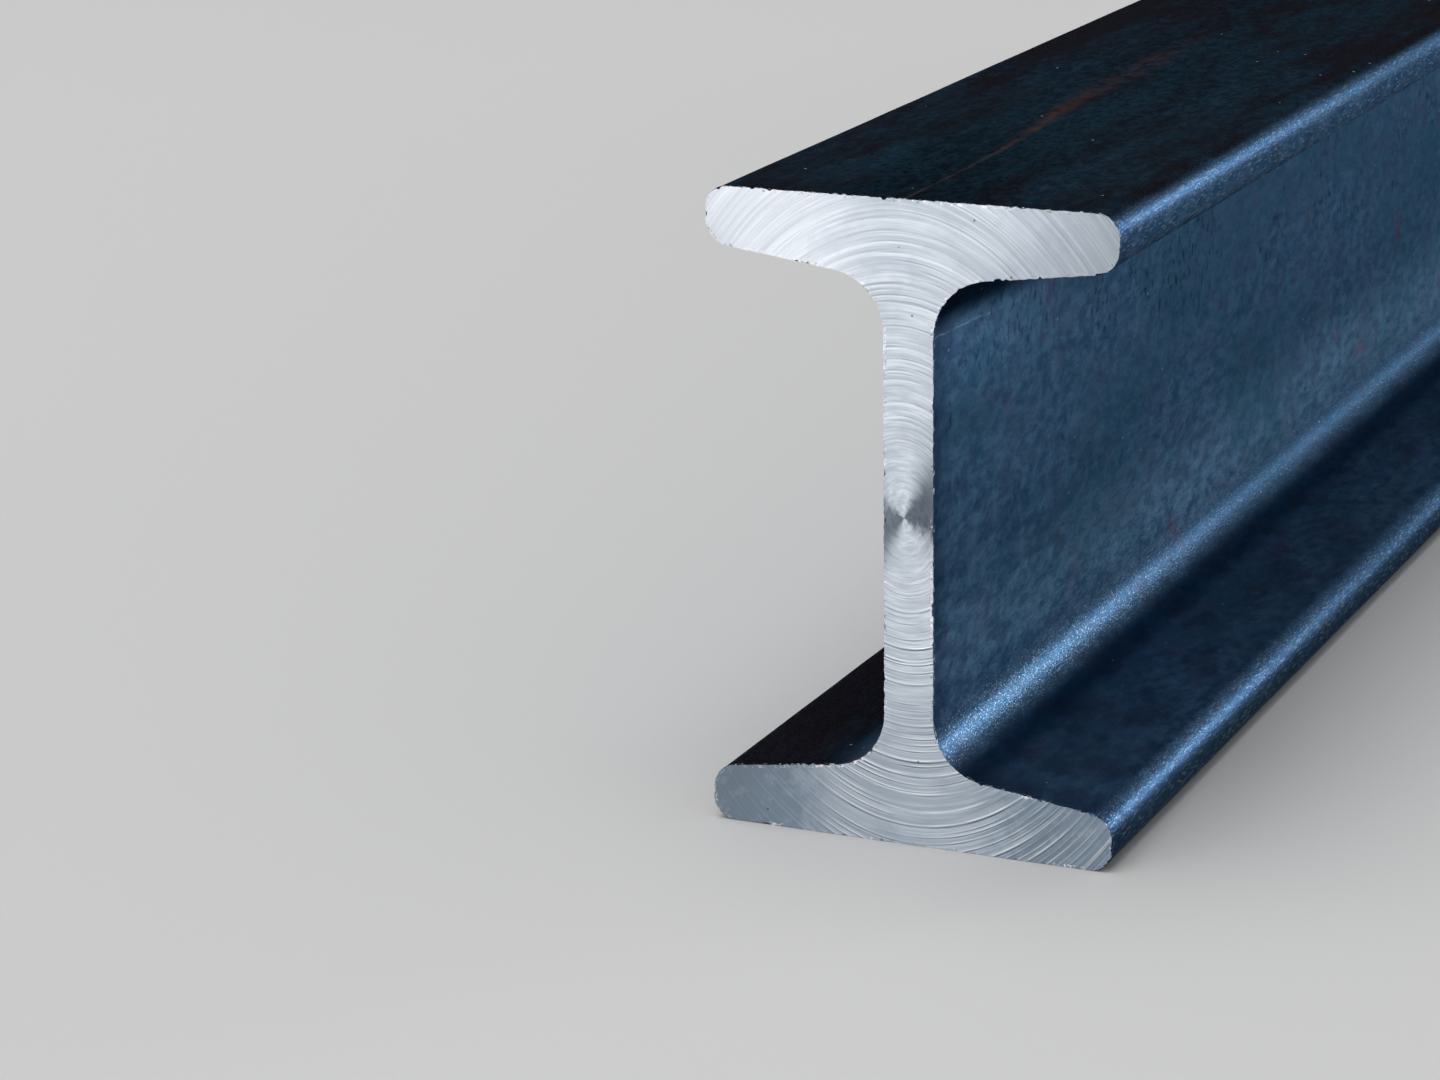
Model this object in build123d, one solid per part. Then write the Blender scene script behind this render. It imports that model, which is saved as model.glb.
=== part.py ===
from build123d import *
import math
import os

# A length of rolled steel I-section with tapered flanges, cut and faced square at
# both ends. Millimetres and degrees. The origin is the bottom centre, the beam
# runs along Y, its height is along Z and its flanges spread along X.

# Driving dimensions
beam_length = 1000.0
section_height = 100.0
flange_width = 65.0
web_thickness = 8.0
flange_thickness = 10.8     # halfway between the web's middle and the flange's edge
flange_slope = 7.6          # rise of each flange's inner face, from its edge to the web
root_radius = 9.0           # between the web and the inner face of a flange
toe_radius = 4.0            # at the inner corner of a flange's edge
edge_radius = 3.5           # at the outer corner of a flange's edge

# The two roundings of a flange's edge each take no more than this share of it
rounding_share = 0.45

# Half sizes of the section
half_width = flange_width / 2
half_web = web_thickness / 2
half_height = section_height / 2


def flange_depth(across):
    """Thickness of a flange at a distance from the web's middle."""
    from_gauge = flange_width / 4 - across
    return flange_thickness + from_gauge * math.tan(math.radians(flange_slope))


# Sharp corners of the section's upper right quarter, from its centre
root = (half_web, half_height - flange_depth(half_web))
toe = (half_width, half_height - flange_depth(half_width))
edge = (half_width, half_height)


def section_outline():
    """All twelve sharp corners, down the right side and up the left."""
    upper_right = [edge, toe, root]
    right_side = upper_right + [(x, -z) for x, z in reversed(upper_right)]
    left_side = [(-x, z) for x, z in reversed(right_side)]
    return right_side + left_side


def like_corners(sketch, corner):
    """The vertices at a corner and at its three mirror images."""
    x, z = corner
    return [
        vertex
        for vertex in sketch.vertices()
        if math.isclose(abs(vertex.X), x) and math.isclose(abs(vertex.Y), z)
    ]


def beam_section():
    """The rolled section, with its roots, toes and outer edges rounded."""
    widest_rounding = rounding_share * flange_depth(half_width)
    section = make_face(Polyline(section_outline(), close=True))
    section = fillet(like_corners(section, root), root_radius)
    section = fillet(like_corners(section, toe), min(toe_radius, widest_rounding))
    return fillet(like_corners(section, edge), min(edge_radius, widest_rounding))


def i_beam():
    """The section drawn out both ways to the beam's length, on its lower flange."""
    upright = Plane((0, 0, half_height), x_dir=(1, 0, 0), z_dir=(0, -1, 0))
    return extrude(upright * beam_section(), amount=beam_length / 2, both=True)


os.makedirs("parts", exist_ok=True)
beam = i_beam()
beam.label = "i_beam"
export_step(beam, "parts/i_beam.step")
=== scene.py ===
import math

import bmesh
import bpy
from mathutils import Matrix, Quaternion, Vector, kdtree


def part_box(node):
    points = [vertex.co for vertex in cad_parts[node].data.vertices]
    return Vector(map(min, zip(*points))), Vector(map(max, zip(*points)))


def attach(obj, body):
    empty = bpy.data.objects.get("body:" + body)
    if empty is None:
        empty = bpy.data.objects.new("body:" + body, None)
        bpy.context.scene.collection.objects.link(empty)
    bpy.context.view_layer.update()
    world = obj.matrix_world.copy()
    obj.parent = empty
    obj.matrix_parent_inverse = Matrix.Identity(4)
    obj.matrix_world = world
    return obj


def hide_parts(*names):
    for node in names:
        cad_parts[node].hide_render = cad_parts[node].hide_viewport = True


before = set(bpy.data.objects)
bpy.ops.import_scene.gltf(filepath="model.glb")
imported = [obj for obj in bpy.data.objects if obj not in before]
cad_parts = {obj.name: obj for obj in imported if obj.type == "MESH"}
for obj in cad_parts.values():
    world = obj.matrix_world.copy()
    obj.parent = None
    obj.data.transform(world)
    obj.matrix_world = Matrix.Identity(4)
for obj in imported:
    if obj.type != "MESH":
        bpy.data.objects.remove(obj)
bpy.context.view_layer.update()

# The rolled section, in metres. Its overall sizes come from the frame.
beam_low, beam_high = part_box("i_beam")
half_width = beam_high.x
half_length = beam_high.y
half_height = (beam_high.z - beam_low.z) / 2
half_web = 0.004
flange_thickness = 0.0108
flange_slope = math.tan(math.radians(7.6))
root_radius = 0.009
toe_radius = 0.004
edge_radius = 0.0035

# How finely the surface is divided, in metres
step_round = 0.0005
step_along = 0.0125
rim_steps = (0.0003, 0.0008, 0.0016, 0.003, 0.006)
rim_inset = 0.0005

# Shares of the flat pattern: the skin's height, and the gap round each part
skin_share = 0.655
pattern_gap = 0.005

# Unevenness: how wide its clouds are and how deep it goes, in metres, and between which two
# shades of the clouds it fades out
skin_waves = (0.014, 0.00008, 0.2, 0.8)
rim_roughness = (0.00083, 0.00014, 0.3, 0.65)
rim_nicks = (0.00127, 0.0005, 0.2, 0.36)

# Depths of the finest relief, in metres
scale_depth = 0.00012
groove_depth = 0.00005

# How far both ends lie from the middle, in the millimetres that the finishes are written in
end_place = 1000 * half_length

# The turning marks: their centre in millimetres, how many times higher than wide they are, and
# how far they lean. Then for each kind of groove its spacing and width in millimetres, its
# seed, how often it breaks off on its way round, and the noise at which it starts and is full.
ring_centre = (-0.7, 0.0, 51.7)
ring_squeeze = 1.4
ring_lean = 0.03
deep_grooves = (2.9, 0.3, 3.7, 1.5, 0.43, 0.56)
close_grooves = (1.05, 0.2, 11.2, 2.2, 0.44, 0.58)

# The floor: its size and the two distances between which it evens out, in metres, and its
# colour near the beam and far from it
floor_size = 40
floor_evens_out = (0.6, 1.5)
floor_colour = (0.76, 0.76, 0.76, 1.0)
floor_tone = (0.64, 0.64, 0.64, 1.0)

# Brightness of the backdrop at the horizon and higher up, and the sine of the angle between
backdrop_low = 0.65
backdrop_high = 0.28
backdrop_rise = 0.26

# Each lamp's name, place, aim and size, in metres, and its power in watts
lamps = (
    ("overhead_softbox", (-0.8, -0.9, 5.5), (0, -0.2, 0), (5.0, 5.0), 168),
    ("front_softbox", (-2.3, -4.3, 1.15), (0, -0.5, 0.05), (4.0, 1.4), 67),
    ("back_softbox", (2.45, 3.9, 0.83), (0.0, -0.5, 0.05), (1.0, 1.05), 24),
)

# The photograph's camera: its place and aim in metres, and its lens and film in millimetres
camera_place = Vector((0.21137, -1.02841, 0.21465))
camera_looks_at = Vector((-0.03088, -half_length, 0.04508))
camera_roll = math.radians(-0.86)
camera_lens = 99.36
camera_film = 36


def flange_depth(across):
    """Thickness of a flange at a distance from the web's middle."""
    return flange_thickness + (half_width / 2 - across) * flange_slope


middle = Vector((0, 0, half_height))
root_height = half_height - flange_depth(half_web)
toe_height = half_height - flange_depth(half_width)


def near(value, wanted):
    """True for two places that are the same to a hundredth of a millimetre."""
    return abs(value - wanted) < 0.00001


def select(piece, kind, wanted):
    """Selects the corners, edges or faces that pass a test, and nothing else."""
    bpy.ops.mesh.select_mode(type=kind)
    bpy.ops.mesh.select_all(action="DESELECT")
    shape = bmesh.from_edit_mesh(piece.data)
    parts = {"VERT": shape.verts, "EDGE": shape.edges, "FACE": shape.faces}[kind]
    for part in parts:
        if wanted(part):
            part.select_set(True)
    bmesh.update_edit_mesh(piece.data)


def runs_along(edge):
    """True for an edge that lies lengthwise."""
    a, b = (corner.co for corner in edge.verts)
    return near(a.x, b.x) and near(a.z, b.z)


def edge_length(edge):
    return (edge.verts[0].co - edge.verts[1].co).length


def lies_at(edge, x, z):
    """True for a lengthwise edge at plus and minus x and z from the middle."""
    corner = edge.verts[0].co
    return runs_along(edge) and near(abs(corner.x), x) and near(abs(corner.z - middle.z), z)


def on_end(face):
    """True for a face that closes one of the beam's ends."""
    return abs(face.normal.y) > 0.9


def web_block():
    """A bar as wide as the web, up to the sharp roots of the flanges."""
    bpy.ops.object.select_all(action="DESELECT")
    bpy.ops.mesh.primitive_cube_add(
        size=2, location=middle, scale=(half_web, half_length, root_height)
    )
    bpy.ops.object.transform_apply(location=True, rotation=True, scale=True)
    beam = bpy.context.object
    beam.name = "rolled_beam"
    return beam


def draw_flanges(beam):
    """Draws the web up and down, then its new ends out to the sides and tapers them."""
    for side in (1, -1):
        select(beam, "FACE", lambda face: face.normal.z * side > 0.9)
        bpy.ops.mesh.extrude_region_move(
            TRANSFORM_OT_translate={"value": (0, 0, side * flange_depth(half_web))}
        )
    select(
        beam,
        "FACE",
        lambda face: abs(face.normal.x) > 0.9
        and abs(face.calc_center_median().z - middle.z) > root_height,
    )
    bpy.ops.mesh.extrude_region_move()
    bpy.ops.transform.resize(value=(half_width / half_web, 1, 1), center_override=middle)
    select(
        beam,
        "VERT",
        lambda corner: near(abs(corner.co.x), half_width)
        and near(abs(corner.co.z - middle.z), root_height),
    )
    bpy.ops.transform.resize(value=(1, 1, toe_height / root_height), center_override=middle)
    select(beam, "FACE", on_end)
    bpy.ops.mesh.dissolve_limited(angle_limit=0.01)


def round_edges(beam):
    """Rounds the roots, the toes and the outer edges."""
    opening = math.radians(90) + math.atan(flange_slope)
    lean = math.tan(opening / 2)
    rounds = (
        (half_web, root_height, root_radius / lean, root_radius),
        (half_width, toe_height, toe_radius / lean, toe_radius),
        (half_width, half_height, edge_radius, edge_radius),
    )
    for x, z, reach, radius in rounds:
        select(beam, "EDGE", lambda edge: lies_at(edge, x, z))
        bpy.ops.mesh.bevel(
            offset=reach,
            segments=round(radius * math.pi / 2 / step_round),
            profile=0.5,
            affect="EDGES",
        )


def divide(beam):
    """Opens both ends, cuts close rings near them, and divides the flats and the length."""
    select(beam, "FACE", on_end)
    bpy.ops.mesh.delete(type="ONLY_FACE")
    planes = [side * (half_length - step) for side in (1, -1) for step in rim_steps]
    for place in [0] + planes:
        bpy.ops.mesh.select_all(action="SELECT")
        bpy.ops.mesh.bisect(plane_co=(0, place, 0), plane_no=(0, 1, 0))
    flats = {
        round(edge_length(edge), 5)
        for edge in bmesh.from_edit_mesh(beam.data).edges
        if not runs_along(edge) and edge_length(edge) > 2 * step_round
    }
    for length in sorted(flats):
        select(
            beam,
            "EDGE",
            lambda edge: not runs_along(edge) and near(edge_length(edge), length),
        )
        bpy.ops.mesh.subdivide(number_cuts=round(length / step_round) - 1)
    select(beam, "EDGE", lambda edge: runs_along(edge) and edge_length(edge) > half_length / 2)
    bpy.ops.mesh.subdivide(number_cuts=round(half_length / step_along) - 1)


def on_rim(corner):
    """True for a corner of the cut edge, outside the narrow band of an end."""
    return near(abs(corner.co.y), half_length) and any(
        not near(edge.other_vert(corner).co.y, corner.co.y) for edge in corner.link_edges
    )


def close_ends(beam):
    """Fills both ends, each with a narrow band inside its rim, and divides the rims finely."""
    for side in (1, -1):
        end = side * half_length
        select(beam, "EDGE", lambda edge: all(near(c.co.y, end) for c in edge.verts))
        bpy.ops.mesh.edge_face_add()
        bpy.ops.mesh.inset(thickness=rim_inset)
    select(beam, "EDGE", lambda edge: all(on_rim(corner) for corner in edge.verts))
    bpy.ops.mesh.subdivide(number_cuts=1, ngon=False)


def walk_rim(shape):
    """The corners of the far rim in order, each with its distance along the rim."""
    start = next(corner for corner in shape.verts if corner.co.y > 0 and on_rim(corner))
    corner, before, distance = start, None, 0.0
    walked = []
    while corner is not start or before is None:
        walked.append((corner.co.copy(), distance))
        ahead = next(
            edge.other_vert(corner)
            for edge in corner.link_edges
            if edge.other_vert(corner) is not before and on_rim(edge.other_vert(corner))
        )
        distance += (ahead.co - corner.co).length
        before, corner = corner, ahead
    return walked, distance


def unroll(beam):
    """Lays the skin out flat for texture maps, with both ends above it at a larger scale."""
    shape = bmesh.new()
    shape.from_mesh(beam.data)
    walked, girth = walk_rim(shape)
    finder = kdtree.KDTree(len(walked))
    for number, (corner, distance) in enumerate(walked):
        finder.insert((corner.x, 0, corner.z), number)
    finder.balance()
    pattern = shape.loops.layers.uv.new("OFBake")
    skin_scale = skin_share / (girth + 2 * step_round)
    end_scale = (0.5 - 1.5 * pattern_gap) / (2 * half_height)
    for face in shape.faces:
        if on_end(face):
            left = pattern_gap if face.normal.y < 0 else 0.5 + pattern_gap / 2
            for loop in face.loops:
                spot = loop.vert.co
                across = skin_share + 2 * pattern_gap + (spot.x + half_width) * end_scale
                loop[pattern].uv = (left + spot.z * end_scale, across)
            continue
        spots = [loop.vert.co for loop in face.loops]
        reach = [walked[finder.find((spot.x, 0, spot.z))[1]][1] for spot in spots]
        if max(reach) - min(reach) > girth / 2:
            reach = [value + girth if value < girth / 2 else value for value in reach]
        for loop, distance in zip(face.loops, reach):
            along = (loop.vert.co.y + half_length) / (2 * half_length)
            loop[pattern].uv = (
                pattern_gap + along * (1 - 2 * pattern_gap),
                pattern_gap + distance * skin_scale,
            )
    shape.to_mesh(beam.data)
    shape.free()


def name_corners(piece, group, wanted):
    """Puts the corners that pass a test into a named group."""
    bpy.ops.object.mode_set(mode="EDIT")
    select(piece, "VERT", wanted)
    piece.vertex_groups.active = piece.vertex_groups.new(name=group)
    bpy.ops.object.vertex_group_assign()
    bpy.ops.object.mode_set(mode="OBJECT")


def sink(piece, group, size, depth, low, high):
    """Sinks a group of corners, up to a depth, where clouds of a given size are dark."""
    uneven = bpy.data.textures.new(group, "CLOUDS")
    uneven.noise_scale = size
    uneven.use_color_ramp = True
    dark, light = uneven.color_ramp.elements
    dark.position, light.position = low, high
    dark.color, light.color = (0, 0, 0, 1), (1, 1, 1, 1)
    bpy.ops.object.modifier_add(type="DISPLACE")
    sinking = piece.modifiers[-1]
    sinking.texture = uneven
    sinking.texture_coords = "LOCAL"
    sinking.mid_level = 1.0
    sinking.strength = depth
    sinking.vertex_group = group
    bpy.ops.object.modifier_apply(modifier=sinking.name)


def weather(beam):
    """Gives the skin its slight waves, and the cut edges a fine unevenness and some nicks."""
    name_corners(beam, "skin", lambda corner: abs(corner.co.y) < half_length - rim_steps[1])
    sink(beam, "skin", *skin_waves)
    for side, rim in ((-1, "near_rim"), (1, "far_rim")):
        name_corners(beam, rim, lambda corner: corner.co.y * side > 0 and on_rim(corner))
        sink(beam, rim, *rim_roughness)
        sink(beam, rim, *rim_nicks)
        bpy.ops.object.mode_set(mode="EDIT")
        bpy.ops.mesh.select_all(action="DESELECT")
        bpy.ops.object.vertex_group_select()
        bpy.ops.transform.resize(value=(1, 0, 1), center_override=(0, side * half_length, 0))
        bpy.ops.object.mode_set(mode="OBJECT")


class Finish:
    """A material, with short ways to add nodes to it."""

    def __init__(self, name):
        self.material = bpy.data.materials.new(name)
        self.material.use_nodes = True
        self.tree = self.material.node_tree
        self.tree.nodes.clear()

    def add(self, kind, inputs=None, **settings):
        """Adds a node, sets it up and joins its inputs to values or other nodes."""
        node = self.tree.nodes.new("ShaderNode" + kind)
        for name, value in settings.items():
            setattr(node, name, value)
        for name, value in (inputs or {}).items():
            self.join(value, node.inputs[name])
        return node

    def join(self, value, socket):
        if isinstance(value, bpy.types.Node):
            value = value.outputs[0]
        if isinstance(value, bpy.types.NodeSocket):
            self.tree.links.new(value, socket)
        else:
            socket.default_value = value

    def math(self, operation, a, b=0.0):
        return self.add("Math", {0: a, 1: b}, operation=operation)

    def times(self, first, *others):
        for other in others:
            first = self.math("MULTIPLY", first, other)
        return first

    def plus(self, first, *others):
        for other in others:
            first = self.math("ADD", first, other)
        return first

    def less(self, whole, part):
        return self.math("SUBTRACT", whole, part)

    def more_of(self, a, b):
        """The greater of two values."""
        return self.math("MAXIMUM", a, b)

    def size_of(self, value):
        """A value without its sign."""
        return self.math("ABSOLUTE", value)

    def stretch(self, value, low, high, to_low=0.0, to_high=1.0):
        """Turns the stretch from low to high into one from to_low to to_high, eased."""
        return self.add(
            "MapRange",
            {
                "Value": value,
                "From Min": low,
                "From Max": high,
                "To Min": to_low,
                "To Max": to_high,
            },
            interpolation_type="SMOOTHSTEP",
        )

    def noise(self, place, size, detail=3.0, roughness=0.55, stretched=(1, 1, 1), at=(0, 0, 0)):
        """Cloudy noise whose patches are about size millimetres, times stretched."""
        turned = self.add(
            "Mapping",
            {"Vector": place, "Location": at, "Scale": [1 / (size * s) for s in stretched]},
        )
        return self.add(
            "TexNoise",
            {"Vector": turned, "Scale": 1.0, "Detail": detail, "Roughness": roughness},
        )

    def dots(self, place, scale, low, high):
        """Small round dots, one in each cell of about 1 / scale millimetres."""
        cells = self.add("TexVoronoi", {"Vector": place, "Scale": scale, "Randomness": 1.0})
        return self.stretch(cells, low, high, 1.0, 0.0)

    def blend(self, share, a, b, mode="MIX"):
        """A colour between a and b."""
        node = self.add("Mix", data_type="RGBA", blend_type=mode, clamp_factor=True)
        self.join(share, node.inputs[0])
        self.join(a, node.inputs[6])
        self.join(b, node.inputs[7])
        return node.outputs[2]

    def tint(self, share, colour, strength):
        """The colour multiplied by a strength in red, green and blue, by a share."""
        return self.blend(share, colour, self.blend(1.0, colour, strength, "MULTIPLY"))

    def millimetres(self):
        """Places on the piece, in millimetres."""
        spot = self.add("TexCoord").outputs["Object"]
        return self.add("VectorMath", {0: spot, 1: (1000, 1000, 1000)}, operation="MULTIPLY")

    def finish(self, shader):
        out = self.add("OutputMaterial")
        self.tree.links.new(shader.outputs[0], out.inputs["Surface"])
        return self.material


def shade(red, green, blue):
    """A colour given in the 0 to 255 steps of a picture."""
    return tuple((c / 255) ** 2.2 for c in (red, green, blue)) + (1.0,)


class Skin(Finish):
    """The mill scale, with the places and the noises that its layers share."""

    def __init__(self, name):
        super().__init__(name)
        self.place = self.millimetres()
        self.x, self.y, self.z = self.add("SeparateXYZ", {0: self.place}).outputs
        self.aside = self.size_of(self.x)
        self.from_middle = self.size_of(self.y)
        self.find_parts()

        self.mottle = self.noise(self.place, 1.6, 5, 0.62, (1, 2.4, 1.1))
        self.dimples = self.noise(self.place, 0.75, 3, 0.5, (1, 1.9, 1), (4, 1, 6))
        self.grain = self.noise(self.place, 0.33, 3, 0.7, (1, 1.4, 1), (9, 2, 3))
        self.smudge = self.noise(self.place, 6, 4, 0.6, (1, 1.8, 1.6), (11, 6, 4))
        fleck = self.noise(self.place, 0.66, 3, 0.5, (1, 2.2, 3.4), (7, 3, 1))
        flecked = self.noise(self.place, 13, 3, 0.5, (1, 1.6, 1), (3, 8, 2))
        self.flecks = self.times(
            self.stretch(fleck, 0.52, 0.68),
            self.stretch(flecked, 0.42, 0.6),
            self.on_web,
            self.stretch(self.z, 38, 60, 0.05, 1.0),
        )

    def find_parts(self):
        """Marks out the parts of the beam, each 1 on the part and 0 away from it."""
        x, z, aside = self.x, self.z, self.aside
        self.on_web = self.stretch(aside, 5, 9, 1.0, 0.0)
        self.in_root = self.times(self.stretch(z, 23, 18), self.stretch(aside, 9, 6))
        low_edge = self.times(self.stretch(z, 4.5, 7), self.stretch(z, 20, 15))
        either_edge = self.more_of(self.stretch(z, 95, 97.5), low_edge)
        self.on_edge = self.times(self.stretch(aside, 28, 31), either_edge)
        # Where the scale is rubbed, and where its colour also paints in highlights
        self.worn = self.more_of(self.in_root, self.on_edge)
        self.on_low_flange = self.times(self.stretch(z, 8.6, 9.6), self.stretch(z, 16, 12.5))
        self.on_top = self.stretch(z, 98.4, 99.7)
        self.on_low_left = self.times(
            self.stretch(z, 14.5, 17.5, 1.0, 0.0), self.stretch(x, -14, -9, 1.0, 0.0)
        )
        # Where the film lies, and where the skin is painted dark as painted shade
        self.film_and_shade_area = self.more_of(self.on_top, self.on_low_left)

        # Away from the ends, where the skin is rougher and painted darker as painted shade, and a
        # height that rises from them
        self.dim_and_rough_middle = self.stretch(self.from_middle, 470, 330)
        inwards = self.math("MINIMUM", self.less(end_place, self.from_middle), 60)
        self.slant = self.plus(z, self.times(inwards, 0.05))


def rolled_blue(f):
    """Blue, mottled in patches that the rolls drew out lengthwise, and painted darker away from
    the ends as painted shade.
    """
    broad = f.noise(f.place, 20, 4, 0.6, (1, 3.5, 1))
    greyer = f.noise(f.place, 8, 4, 0.65, (1, 1.6, 1), (5, 9, 1))
    colour = f.blend(f.stretch(f.mottle, 0.3, 0.72), shade(65, 97, 128), shade(92, 128, 161))
    colour = f.blend(f.stretch(broad, 0.38, 0.66, 0.0, 0.55), colour, shade(64, 100, 124))
    colour = f.blend(f.stretch(greyer, 0.46, 0.66, 0.0, 0.45), colour, shade(80, 98, 128))
    colour = f.blend(f.stretch(greyer, 0.46, 0.3, 0.0, 0.5), colour, shade(52, 96, 122))
    colour = f.blend(f.stretch(f.grain, 0.4, 0.72, 0.0, 0.3), colour, shade(52, 66, 86))
    # Painted shade: darker away from the ends
    return f.blend(f.times(f.dim_and_rough_middle, 0.2), colour, shade(34, 58, 84))


def flecked_and_smudged(f, colour):
    """Dark flecks on the web, purple smudges, and darker where the cut heated it."""
    colour = f.blend(f.times(f.flecks, 0.6), colour, shade(26, 40, 58))
    colour = f.blend(f.stretch(f.smudge, 0.6, 0.72, 0.0, 0.5), colour, shade(92, 76, 104))
    heated = f.stretch(f.plus(f.from_middle, f.times(f.smudge, 14)), 498, 506)
    return f.blend(f.times(heated, 0.5), colour, shade(38, 48, 80))


def shaded_by_height(f, colour):
    """Painted shade in the upper roots and at the foot of the lower roots, and painted light low
    on the web and high up beside the ends.
    """
    # Painted shade under the upper roots, strongest near the ends
    shade_under_root = f.times(
        f.stretch(f.slant, 79.2, 83.6),
        f.stretch(f.aside, 10, 16, 1.0, 0.0),
        f.stretch(f.from_middle, 430, 475, 0.3, 0.92),
    )
    colour = f.blend(shade_under_root, colour, shade(14, 20, 32))
    # Painted light: paler low on the web, above the lower roots
    light_low_on_web = f.times(f.stretch(f.z, 42, 22), f.stretch(f.z, 17.5, 20), f.on_web)
    colour = f.tint(light_low_on_web, colour, (2.5, 2.25, 2.05, 1.0))
    # Painted light: paler high up on the web beside the ends
    light_beside_end = f.times(
        f.stretch(f.from_middle, 435, 475), f.stretch(f.z, 64, 72), f.on_web
    )
    colour = f.tint(light_beside_end, colour, (1.4, 1.35, 1.35, 1.0))

    # The foot of the lower roots is darker, as painted shade
    foot = f.times(
        f.stretch(f.aside, 6.6, 8.8), f.stretch(f.aside, 14, 10), f.stretch(f.z, 20, 15)
    )
    return f.tint(foot, colour, (0.28, 0.4, 0.5, 1.0))


def rubbed(f, colour):
    """Rubbed paler in the lower roots and on the flanges' edges, which also paints in their
    highlights, with painted sparkle and painted shade, and streaked on their sides.
    """
    # Partly rubbed wear and partly a painted highlight, weaker away from the ends
    wear_and_highlight = f.times(f.worn, f.less(0.45, f.times(f.dim_and_rough_middle, 0.25)))
    wear_and_highlight_tone = f.blend(f.on_edge, shade(84, 116, 152), shade(86, 132, 182))
    colour = f.blend(wear_and_highlight, colour, wear_and_highlight_tone)
    # Painted sparkle in the highlights
    painted_sparkle = f.times(f.stretch(f.grain, 0.54, 0.66), f.times(wear_and_highlight, 2.0))
    colour = f.blend(painted_sparkle, colour, shade(180, 198, 224))
    # Painted shade between the grains
    between = f.times(f.stretch(f.grain, 0.46, 0.36), f.times(wear_and_highlight, 0.5))
    colour = f.blend(between, colour, shade(48, 72, 100))
    # Painted shade just above the highlight in the lower roots
    shade_over_root = f.times(f.stretch(f.z, 20.5, 18), f.stretch(f.z, 15.5, 17.5), f.on_web)
    colour = f.tint(shade_over_root, colour, (0.72, 0.72, 0.72, 1.0))
    streaks = f.times(f.stretch(f.aside, 28, 30), f.stretch(f.mottle, 0.36, 0.6, 0.8, 0.25))
    upper_side = f.times(f.stretch(f.z, 97.4, 95.6), f.stretch(f.z, 50, 90))
    return f.blend(f.times(streaks, upper_side), colour, shade(44, 78, 112))


def soiled(f, colour):
    """Blotches on the lower flange, a few rusty spots, and painted shade towards the ground."""
    blotch = f.stretch(f.noise(f.place, 6, 6, 0.65, (1, 2, 1), (6, 1, 2)), 0.42, 0.64, 0.0, 0.55)
    colour = f.blend(f.times(blotch, f.on_low_flange), colour, shade(48, 60, 80))
    cells = f.add("TexVoronoi", {"Vector": f.place, "Scale": 0.075, "Randomness": 1.0})
    spots = f.stretch(f.plus(cells, f.times(f.mottle, 0.12)), 0.13, 0.09, 0.0, 0.6)
    colour = f.blend(spots, colour, shade(98, 54, 66))
    # Painted shade: darker towards the ground
    return f.blend(f.stretch(f.z, 9, 1.5, 0.0, 0.75), colour, shade(24, 42, 64))


def film_of_rust(f):
    """How thick the brown film lies on the upper side and on the lower flange's left."""
    film = f.plus(
        f.noise(f.place, 13, 7, 0.72, (0.6, 3.2, 0.6), (1, 5, 9)),
        f.stretch(f.x, -10, -25, -0.04, 0.08),
        f.stretch(f.x, 16, 26, 0.0, 0.1),
        f.stretch(f.y, -420, -300, 0.0, 0.09),
        # Thicker on the lower flange's left, where it also darkens as painted shade
        f.times(f.on_low_left, 0.16),
    )
    return f.times(f.stretch(film, 0.38, 0.7), f.film_and_shade_area)


def shade_and_film(f, colour, film):
    """A dark teal on the upper side and the lower flange's left, its darkness painted shade, and
    brown where the film is thick.
    """
    patches = f.noise(f.place, 24, 5, 0.65, (0.7, 2.4, 0.7), (2, 6, 3))
    teal = f.blend(f.stretch(patches, 0.4, 0.62), shade(15, 25, 34), shade(21, 39, 50))
    teal = f.blend(f.stretch(f.mottle, 0.35, 0.65, 0.0, 0.6), teal, shade(34, 52, 62))
    teal = f.blend(f.stretch(f.dimples, 0.5, 0.66, 0.0, 0.7), teal, shade(10, 14, 18))
    colour = f.blend(f.times(f.film_and_shade_area, 0.93), colour, teal)
    brown = f.blend(f.stretch(f.grain, 0.4, 0.6), shade(21, 20, 24), shade(40, 35, 38))
    return f.blend(f.times(film, 0.85), colour, brown)


def rusty_line(f, colour):
    """One thin rusty line, which runs along the top and spreads into a smear."""
    wander = f.times(f.noise(f.place, 9, 2), 0.8)
    across = f.plus(f.stretch(f.y, -470, -400, -1.0, -5.4), wander)
    off_line = f.size_of(f.less(f.x, across))
    width = f.stretch(f.y, -475, -385, 0.4, 4.5)
    broken = f.noise(f.place, 2.2, 5, 0.65, (1, 2.4, 1))
    line = f.times(
        f.stretch(f.math("DIVIDE", off_line, width), 0.0, 1.0, 1.0, 0.0),
        f.stretch(broken, 0.32, 0.66),
        f.on_top,
        f.stretch(f.y, -330, -380),
        f.stretch(f.y, -450, -395, 0.6, 0.3),
    )
    return f.blend(line, colour, shade(88, 62, 52))


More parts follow.
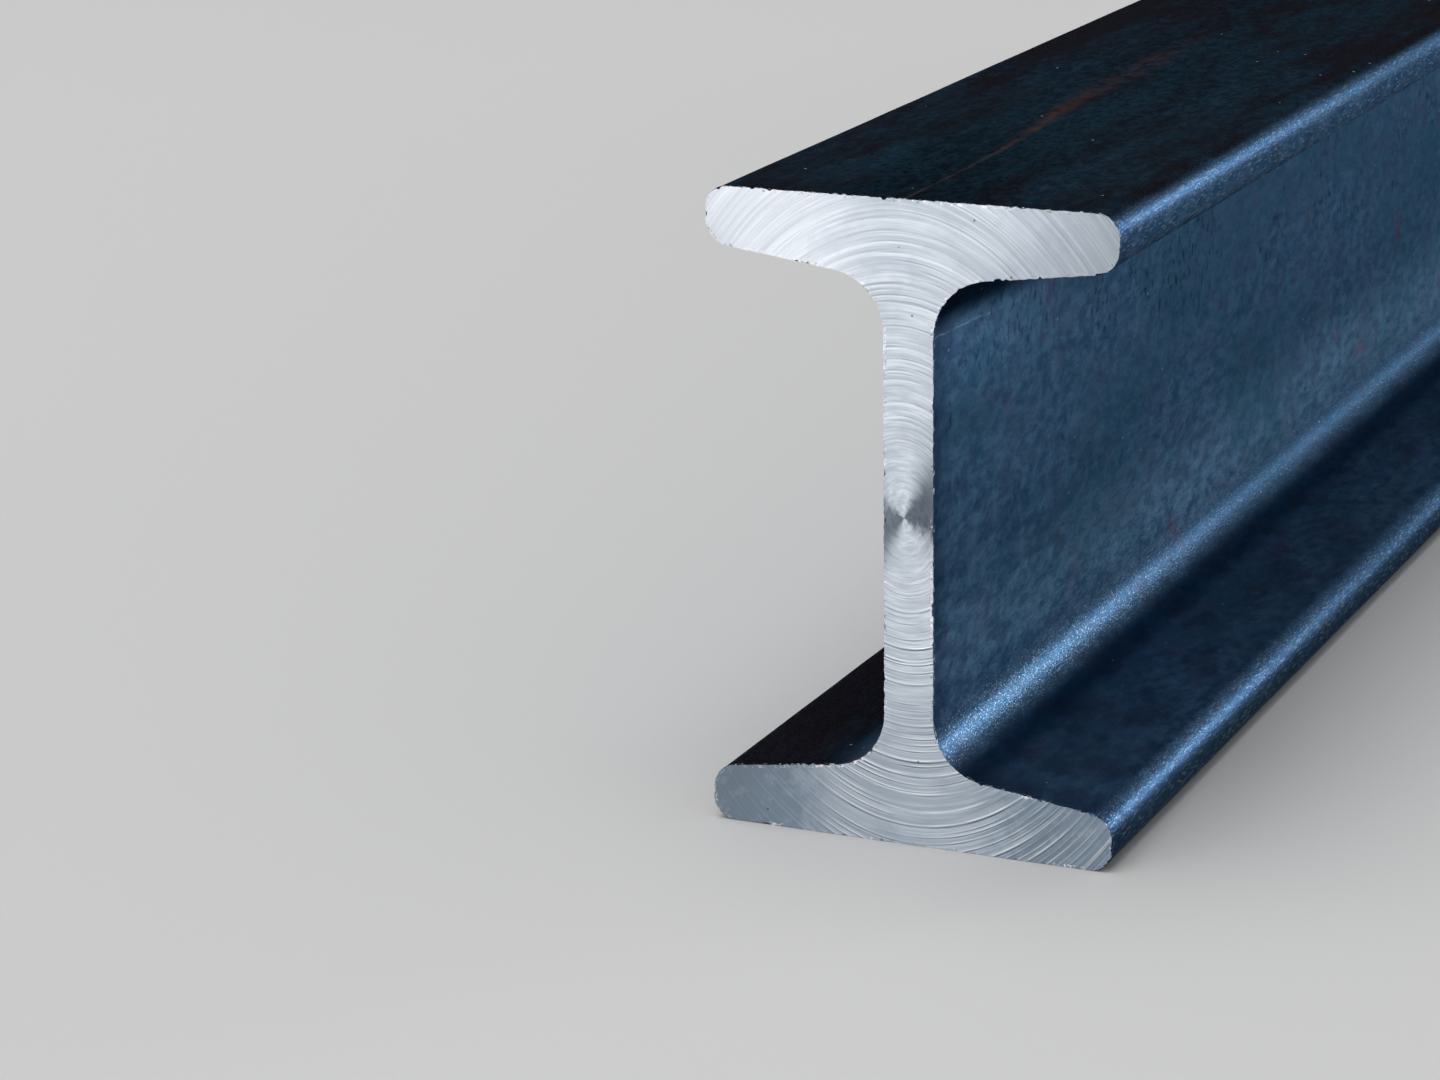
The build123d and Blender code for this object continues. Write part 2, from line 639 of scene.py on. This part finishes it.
def scratched(f, colour):
    """Bright specks, short strokes, one long scratch under the right root, and bare edges."""
    specks = f.dots(f.place, 0.16, 0.02, 0.045)
    drawn_out = f.add(
        "Mapping", {"Vector": f.place, "Rotation": (0.5, 0.0, 0.35), "Scale": (3.6, 0.5, 3.6)}
    )
    strokes = f.add("TexNoise", {"Vector": drawn_out, "Scale": 1.0, "Detail": 1.0})
    on_tip = f.times(f.stretch(f.aside, 29.5, 31), f.stretch(f.z, 98.6, 99.3, 1.0, 0.0))
    strokes = f.times(f.stretch(strokes, 0.57, 0.68), on_tip)
    height = f.plus(f.slant, f.times(f.noise(f.place, 6, 3), 1.2))
    scratch = f.times(
        f.stretch(f.size_of(f.less(height, 80.2)), 0.0, 0.2, 1.0, 0.0),
        f.stretch(f.y, -468, -474),
        f.stretch(f.x, 0, 3),
        f.stretch(f.mottle, 0.42, 0.6, 0.1, 1.0),
    )
    bright = f.more_of(specks, f.times(strokes, 0.5))
    bright = f.more_of(bright, f.times(scratch, 0.7))
    colour = f.blend(f.times(bright, 0.75), colour, shade(165, 190, 214))
    burr = f.times(
        f.stretch(f.from_middle, end_place - 0.7, end_place - 0.4),
        f.stretch(f.noise(f.place, 0.8, 2), 0.58, 0.64),
    )
    return f.blend(f.times(burr, 0.9), colour, shade(206, 214, 224))


def mill_scale():
    """Blue-black oxide skin of hot rolling, rubbed, dirtied and rusted as in a steel yard, with
    painted light and shade.
    """
    f = Skin("mill_scale")
    film = film_of_rust(f)
    colour = rolled_blue(f)
    colour = flecked_and_smudged(f, colour)
    colour = shaded_by_height(f, colour)
    colour = rubbed(f, colour)
    colour = soiled(f, colour)
    colour = shade_and_film(f, colour, film)
    colour = rusty_line(f, colour)
    colour = scratched(f, colour)

    rough = f.plus(
        f.stretch(f.mottle, 0.3, 0.7, 0.3, 0.42),
        f.times(f.film_and_shade_area, 0.1),
        f.times(film, 0.2),
        f.times(f.in_root, -0.045),
        f.times(f.on_edge, 0.03),
        f.times(f.dim_and_rough_middle, 0.13),
    )
    height = f.plus(
        f.times(f.mottle, 0.34),
        f.times(f.dimples, 0.42),
        f.times(f.grain, f.stretch(f.worn, 0.0, 1.0, 0.25, 0.34)),
        f.times(f.flecks, -0.3),
    )
    bump = f.add("Bump", {"Strength": 1.0, "Distance": scale_depth, "Height": height})
    dusty = f.plus(f.times(f.film_and_shade_area, 0.87), f.times(film, 0.1))
    dusty = f.more_of(dusty, f.times(f.on_low_flange, 0.36))
    shader = f.add(
        "BsdfPrincipled",
        {
            "Base Color": colour,
            "Metallic": f.less(1.0, dusty),
            "Roughness": rough,
            "Specular IOR Level": 0.0,
            "Specular Tint": (0.42, 0.44, 0.48, 1.0),
            "Normal": bump,
        },
    )
    return f.finish(shader)


class TurnedFace(Finish):
    """A faced end, with places round the centre of its turning marks."""

    def __init__(self, name):
        super().__init__(name)
        self.place = self.millimetres()
        spot = self.add("VectorMath", {0: self.place, 1: ring_centre}, operation="SUBTRACT")
        self.x, _, self.z = self.add("SeparateXYZ", {0: spot}).outputs
        self.aside = self.size_of(self.x)
        upright = self.plus(self.x, self.times(self.z, ring_lean))
        narrow = self.times(upright, ring_squeeze)
        squares = self.plus(self.times(narrow, narrow), self.times(self.z, self.z))
        self.reach = self.math("SQRT", squares)
        self.turn = self.math("ARCTAN2", self.z, self.x)
        self.side = self.math("COSINE", self.turn)
        self.rise = self.math("SINE", self.turn)
        self.ring = self.plus(self.reach, self.times(self.noise(self.place, 30, 1), 1.2))

        # Parts of the face: high up on the left, which is painted lighter as painted light, low on
        # the left, and the lower edges
        x, z, aside = self.x, self.z, self.aside
        self.lit_upper_left = self.times(self.stretch(x, -2, -16), self.stretch(z, 22, 34))
        self.worn_left = self.times(
            self.stretch(x, -5, -17), self.stretch(z, -25, -38, 0.0, 0.88)
        )
        self.low_tips = self.times(self.stretch(aside, 8, 22), self.stretch(z, -18, -34))

        self.fine = self.round_noise(3.5, 0.3, 4, 5.1, 0.7)
        self.waves = self.round_noise(2.0, 0.8, 2, 8.3)

    def round_noise(self, spread, across, detail, seed, roughness=0.5):
        """Noise drawn out round the centre: spread turns it, across is its width in mm."""
        around = self.add(
            "CombineXYZ",
            {
                "X": self.times(self.side, spread),
                "Y": self.times(self.rise, spread),
                "Z": self.plus(self.math("DIVIDE", self.reach, across), seed),
            },
        )
        return self.add(
            "TexNoise",
            {"Vector": around, "Scale": 1.0, "Detail": detail, "Roughness": roughness},
        )

    def grooves(self, spacing, width, seed, spread, low, high, shift=0.0):
        """Thin irregular rings, each only part of the way round."""
        outwards = self.math("DIVIDE", self.plus(self.ring, shift), spacing)
        cells = self.add(
            "TexVoronoi",
            {"W": self.plus(outwards, seed), "Scale": 1.0, "Randomness": 1.0},
            voronoi_dimensions="1D",
            feature="DISTANCE_TO_EDGE",
        )
        line = self.stretch(cells, 0.0, width / spacing, 1.0, 0.0)
        part = self.stretch(self.round_noise(spread, 2.2, 2, seed + 9), low, high)
        return self.times(line, part)


def turning_marks(f):
    """The grooves that the tool left, and the lip beside each of them, later painted bright as a
    highlight.
    """
    in_groups = f.stretch(f.noise(f.place, 11, 2, 0.5, (1, 1, 1), (5, 0, 2)), 0.38, 0.6, 0.42, 1.0)
    strength = f.times(
        in_groups,
        f.stretch(f.aside, 17, 28, 1.0, 0.55),
        f.less(1.0, f.times(f.lit_upper_left, 0.35)),
        f.less(1.0, f.worn_left),
        f.stretch(f.z, 25, -20, 0.5, 1.1),
        f.stretch(f.reach, 3, 17, 0.2, 1.0),
    )
    outer = f.stretch(f.reach, 2, 9, 0.25, 1.0)
    marks = []
    for deep_shift, close_shift in ((0.0, 0.0), (0.34, 0.24)):
        deep = f.grooves(*deep_grooves, deep_shift)
        close = f.times(f.grooves(*close_grooves, close_shift), outer, 0.85)
        marks.append(f.times(f.more_of(deep, close), strength))
    return marks


def turned_steel(f, groove, lip):
    """Bright steel with fine rings, painted darker towards the lower flange and in clouds at its
    edges as painted shade, with painted light high on the left, painted shade in the grooves and
    painted highlights on their lips.
    """
    bands = f.round_noise(1.4, 3.4, 3, 1.3)
    smudge = f.noise(f.place, 6, 5, 0.6)
    colour = f.blend(f.stretch(f.fine, 0.33, 0.67), shade(207, 215, 225), shade(238, 243, 250))
    colour = f.blend(f.stretch(f.waves, 0.42, 0.62, 0.0, 0.65), colour, shade(190, 197, 208))
    colour = f.blend(f.stretch(bands, 0.42, 0.68, 0.0, 0.4), colour, shade(192, 199, 210))
    colour = f.blend(f.stretch(smudge, 0.48, 0.72, 0.0, 0.45), colour, shade(182, 189, 201))
    colour = f.blend(f.times(f.worn_left, 0.9), colour, shade(208, 216, 226))
    # Painted shade in the grooves
    colour = f.blend(f.times(groove, 0.9), colour, shade(108, 117, 130))

    # Painted shade: darker towards the bottom, in clouds at the lower tips and on the upper right
    cloudy = f.noise(f.place, 2.6, 4, 0.7, (1, 1, 1), (4, 0, 8))
    clouds = f.times(f.low_tips, f.stretch(cloudy, 0.26, 0.74, 0.2, 0.62))
    right = f.times(f.stretch(f.x, -16, -2, 0.0, 0.21), f.stretch(f.z, -12, 0))
    shade_low_and_right = f.plus(f.stretch(f.z, -50, 10, 0.64, 0.0), f.plus(clouds, right))
    # Painted light: paler high up on the left
    colour = f.blend(f.times(f.lit_upper_left, 0.35), colour, shade(242, 247, 253))
    colour = f.tint(shade_low_and_right, colour, shade(158, 170, 179))
    # Painted highlights on the lips beside the grooves
    colour = f.blend(f.times(lip, 0.8), colour, shade(243, 247, 252))
    cooler = f.times(f.stretch(f.x, 8, 26), f.stretch(f.z, 20, 34, 0.0, 0.3))
    return f.blend(cooler, colour, shade(198, 214, 229))


def wedge_shade_and_pits(f, colour):
    """Two wedges of painted shade at the centre, where the rings reflect less, and a few small
    pits.
    """
    ragged = f.plus(f.turn, f.times(f.less(f.waves, 0.5), 0.9))
    both = f.math("COSINE", f.times(f.less(ragged, 0.3), 2.0))
    wedges = f.times(
        f.stretch(both, -0.8, 0.55),
        f.stretch(f.reach, 5.5, 15.0, 1.0, 0.0),
        f.stretch(f.fine, 0.3, 0.7, 0.85, 1.0),
        f.stretch(f.x, -2.5, 2.5, 0.78, 1.0),
    )
    # Painted shade in the two wedges
    colour = f.tint(wedges, colour, shade(144, 153, 164))
    pits = f.dots(f.place, 0.21, 0.03, 0.05)
    return f.blend(f.times(pits, 0.8), colour, shade(84, 92, 104))


def burrs(f, colour):
    """Painted glints and painted nick shadows along the rim of the cut."""
    specks = f.noise(f.place, 0.6, 2, 0.5, (1, 1, 1), (3, 0, 7))
    stretches = f.stretch(f.noise(f.place, 7, 2, 0.5, (1, 1, 1), (8, 0, 1)), 0.5, 0.6)
    glints = f.times(f.stretch(specks, 0.52, 0.64), stretches, 0.8)
    # Painted glints
    colour = f.blend(glints, colour, shade(250, 246, 248))
    # Painted shadows in the nicks
    nick_shadows = f.times(f.stretch(specks, 0.4, 0.3), 0.6)
    return f.blend(nick_shadows, colour, shade(120, 114, 120))


def faced_steel(name, burred=False):
    """Bright steel of the faced ends, with rings left by the tool, higher than they are wide, and
    painted light and shade.
    """
    f = TurnedFace(name)
    groove, lip = turning_marks(f)
    colour = turned_steel(f, groove, lip)
    colour = wedge_shade_and_pits(f, colour)
    if burred:
        colour = burrs(f, colour)
    height = f.plus(f.less(f.times(f.fine, 0.25), groove), f.times(f.waves, 0.5))
    height = f.times(height, f.less(1.0, f.worn_left))
    bump = f.add("Bump", {"Strength": 0.8, "Distance": groove_depth, "Height": height})
    outwards = f.add("CombineXYZ", {"X": f.side, "Y": 0.0, "Z": f.rise})
    shader = f.add(
        "BsdfPrincipled",
        {
            "Base Color": colour,
            "Metallic": 1.0,
            "Roughness": f.stretch(f.fine, 0.3, 0.7, 0.3, 0.4),
            "Anisotropic": 0.9,
            "Normal": bump,
            "Tangent": outwards,
        },
    )
    return f.finish(shader)


def pale_floor():
    """Plain matt floor, which far from the beam shows as one even pale tone."""
    f = Finish("pale_floor")
    x, y, _ = f.add("SeparateXYZ", {0: f.add("TexCoord").outputs["Object"]}).outputs
    past_end = f.more_of(f.less(f.size_of(y), half_length), 0.0)
    away = f.math("SQRT", f.plus(f.times(x, x), f.times(past_end, past_end)))
    rays = f.add("LightPath").outputs
    seen = f.more_of(rays["Is Glossy Ray"], rays["Is Transmission Ray"])
    seen = f.more_of(rays["Is Camera Ray"], seen)
    even = f.times(seen, f.stretch(away, *floor_evens_out))
    matt = f.add("BsdfPrincipled", {"Base Color": floor_colour, "Roughness": 0.9})
    tone = f.add("Emission", {"Color": floor_tone, "Strength": 1.0})
    return f.finish(f.add("MixShader", {0: even, 1: matt.outputs[0], 2: tone.outputs[0]}))


def dress(beam):
    """Gives the ends their turned finish and the rest its mill scale."""
    beam.data.materials.clear()
    beam.data.materials.append(mill_scale())
    beam.data.materials.append(faced_steel("faced_steel"))
    beam.data.materials.append(faced_steel("burred_edge", burred=True))
    bpy.ops.object.mode_set(mode="EDIT")
    select(beam, "FACE", on_end)
    beam.active_material_index = 1
    bpy.ops.object.material_slot_assign()
    select(beam, "FACE", lambda face: on_end(face) and any(on_rim(c) for c in face.verts))
    beam.active_material_index = 2
    bpy.ops.object.material_slot_assign()
    bpy.ops.object.mode_set(mode="OBJECT")
    bpy.ops.object.shade_smooth_by_angle(angle=math.radians(30))
    bpy.ops.object.mode_set(mode="EDIT")
    select(beam, "FACE", on_end)
    bpy.ops.mesh.faces_shade_flat()
    bpy.ops.object.mode_set(mode="OBJECT")


def studio():
    """A pale floor and plain soft light."""
    bpy.ops.mesh.primitive_plane_add(size=floor_size)
    floor = bpy.context.object
    floor.name = "floor"
    floor.data.materials.append(pale_floor())

    world = bpy.data.worlds.new("studio")
    world.use_nodes = True
    bpy.context.scene.world = world
    sky = world.node_tree.nodes
    background = sky["Background"]
    background.inputs["Color"].default_value = (1, 1, 1, 1)
    direction = sky.new("ShaderNodeTexCoord").outputs["Generated"]
    height = sky.new("ShaderNodeSeparateXYZ")
    backdrop = sky.new("ShaderNodeMapRange")
    backdrop.interpolation_type = "SMOOTHSTEP"
    backdrop.inputs["From Min"].default_value = 0.0
    backdrop.inputs["From Max"].default_value = backdrop_rise
    backdrop.inputs["To Min"].default_value = backdrop_low
    backdrop.inputs["To Max"].default_value = backdrop_high
    join = world.node_tree.links.new
    join(direction, height.inputs[0])
    join(height.outputs["Z"], backdrop.inputs["Value"])
    join(backdrop.outputs[0], background.inputs["Strength"])

    for name, place, aim, size, power in lamps:
        bpy.ops.object.light_add(type="AREA", location=place)
        lamp = bpy.context.object
        lamp.name = name
        lamp.data.shape = "RECTANGLE"
        lamp.data.size, lamp.data.size_y = size
        lamp.data.energy = power
        lamp.visible_camera = False
        lamp.rotation_euler = (Vector(aim) - Vector(place)).to_track_quat("-Z", "Y").to_euler()


def photographer():
    """The camera, at the place the photograph was taken from."""
    bpy.ops.object.camera_add(location=camera_place)
    camera = bpy.context.object
    facing = (camera_looks_at - camera_place).to_track_quat("-Z", "Y")
    camera.rotation_euler = (facing @ Quaternion((0, 0, 1), camera_roll)).to_euler()
    camera.data.sensor_width = camera_film
    camera.data.lens = camera_lens
    camera.data.clip_start = 0.01
    bpy.context.scene.camera = camera
    bpy.context.scene.view_settings.view_transform = "Standard"


beam = web_block()
bpy.ops.object.mode_set(mode="EDIT")
draw_flanges(beam)
round_edges(beam)
divide(beam)
close_ends(beam)
bpy.ops.object.mode_set(mode="OBJECT")
unroll(beam)
dress(beam)
weather(beam)

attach(beam, "root")
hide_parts("i_beam")
studio()
photographer()
